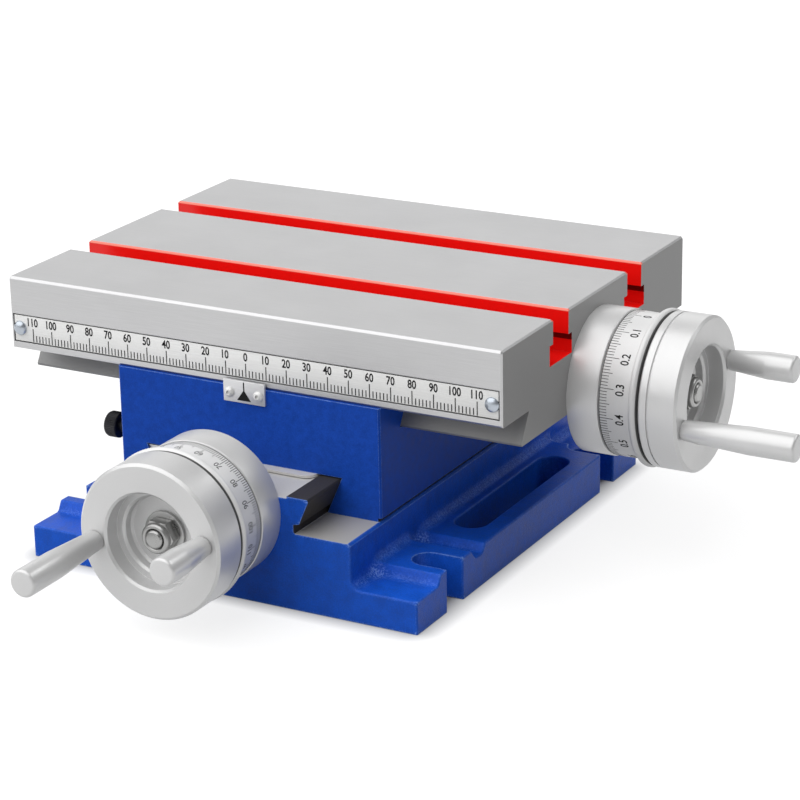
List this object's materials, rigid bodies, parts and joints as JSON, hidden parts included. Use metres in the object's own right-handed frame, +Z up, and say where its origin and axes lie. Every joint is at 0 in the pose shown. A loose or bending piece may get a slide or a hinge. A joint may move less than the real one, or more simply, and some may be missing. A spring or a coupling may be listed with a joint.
{
  "type": "cross slide table",
  "caption": "Two-axis workholding table: a T-slotted steel table on a blue cast saddle and base, joined by dovetail ways and driven by handwheels with graduated dials.",
  "frame": {"origin": "centre of the base casting's underside", "axes": "+Z up; +X along the table's T-slots towards the table handwheel; -Y towards the cross handwheel; millimetres in the source, metres in the row"},
  "size_m": [0.3447, 0.3301, 0.118],
  "materials": {
    "cast_blue": "gloss blue paint on cast iron, ways machined bare",
    "ground_steel": "ground",
    "turned_aluminium": "fine turned",
    "scale_silver": "satin with black marks",
    "black_oxide": "black oxide",
    "bright_steel": "turned",
    "bronze": "bored bronze",
    "cover_plate": "pale sheet steel"
  },
  "bodies": {
    "base": {"base_casting": "cast_blue", "cross_bearing_housing": "turned_aluminium", "cross_housing_screws": "black_oxide", "cross_feed_bush": "bronze", "cross_inner_thrust_washer": "bronze", "cross_outer_thrust_washer": "bronze"},
    "saddle": {"saddle_casting": "cast_blue", "cross_gib": "ground_steel", "cross_gib_screws": "black_oxide", "cross_gib_lock_nuts": "bright_steel", "table_gib": "ground_steel", "table_gib_screws": "black_oxide", "table_gib_lock_nuts": "bright_steel", "cross_feed_nut": "bronze", "cross_feed_nut_screws": "black_oxide", "table_feed_nut": "bronze", "table_feed_nut_screws": "black_oxide", "index_plate": "scale_silver", "index_plate_screws": "bright_steel", "chip_cover": "cover_plate", "chip_cover_screws": "bright_steel"},
    "table": {"table": "ground_steel", "scale_plate": "scale_silver", "scale_rivets": "bright_steel", "table_bearing_housing": "turned_aluminium", "table_housing_screws": "black_oxide", "table_feed_bush": "bronze", "table_inner_thrust_washer": "bronze", "table_outer_thrust_washer": "bronze"},
    "cross_wheel": {"cross_handwheel": "turned_aluminium", "cross_long_handle": "turned_aluminium", "cross_short_handle": "turned_aluminium", "cross_wheel_key": "bright_steel", "cross_feed_screw": "bright_steel", "cross_wheel_washer": "bright_steel", "cross_wheel_nut": "bright_steel", "cross_dial_spring": "bright_steel"},
    "cross_dial": {"cross_dial_ring": "turned_aluminium"},
    "table_wheel": {"table_handwheel": "turned_aluminium", "table_long_handle": "turned_aluminium", "table_short_handle": "turned_aluminium", "table_wheel_key": "bright_steel", "table_feed_screw": "bright_steel", "table_wheel_washer": "bright_steel", "table_wheel_nut": "bright_steel", "table_dial_spring": "bright_steel"},
    "table_dial": {"table_dial_ring": "turned_aluminium"},
    "saddle_lock": {"saddle_lock_screw": "black_oxide"},
    "table_lock": {"table_lock_screw": "black_oxide"}
  },
  "joints": [
    {"name": "saddle_slide", "type": "slide", "parent": "base", "child": "saddle", "axis": [0, 1, 0], "range_m": [-0.022, 0.05]},
    {"name": "cross_wheel_turn", "type": "hinge", "parent": "base", "child": "cross_wheel", "pos_m": [0, -0.11, 0.0423], "axis": [0, -1, 0], "range_deg": [-3960, 9000]},
    {"name": "cross_dial_turn", "type": "hinge", "parent": "cross_wheel", "child": "cross_dial", "pos_m": [0, -0.1335, 0.0423], "axis": [0, -1, 0], "continuous": true},
    {"name": "table_slide", "type": "slide", "parent": "saddle", "child": "table", "axis": [1, 0, 0], "range_m": [-0.055, 0.08]},
    {"name": "table_wheel_turn", "type": "hinge", "parent": "table", "child": "table_wheel", "pos_m": [0.1215, 0.01, 0.0784], "axis": [1, 0, 0], "range_deg": [-13200, 19200]},
    {"name": "table_dial_turn", "type": "hinge", "parent": "table_wheel", "child": "table_dial", "pos_m": [0.145, 0.01, 0.0784], "axis": [1, 0, 0], "continuous": true},
    {"name": "saddle_lock_turn", "type": "hinge", "parent": "saddle", "child": "saddle_lock", "pos_m": [-0.082, -0.058, 0.0465], "axis": [-1, 0, 0], "range_deg": [-20, 160]},
    {"name": "table_lock_turn", "type": "hinge", "parent": "saddle", "child": "table_lock", "pos_m": [0, 0.112, 0.0782], "axis": [0, 1, 0], "range_deg": [-20, 160]}
  ],
  "couplings": [
    {"joint": "cross_wheel_turn", "follows": "saddle_slide", "rad_per_m": 3141.6},
    {"joint": "table_wheel_turn", "follows": "table_slide", "rad_per_m": 4188.8}
  ]
}
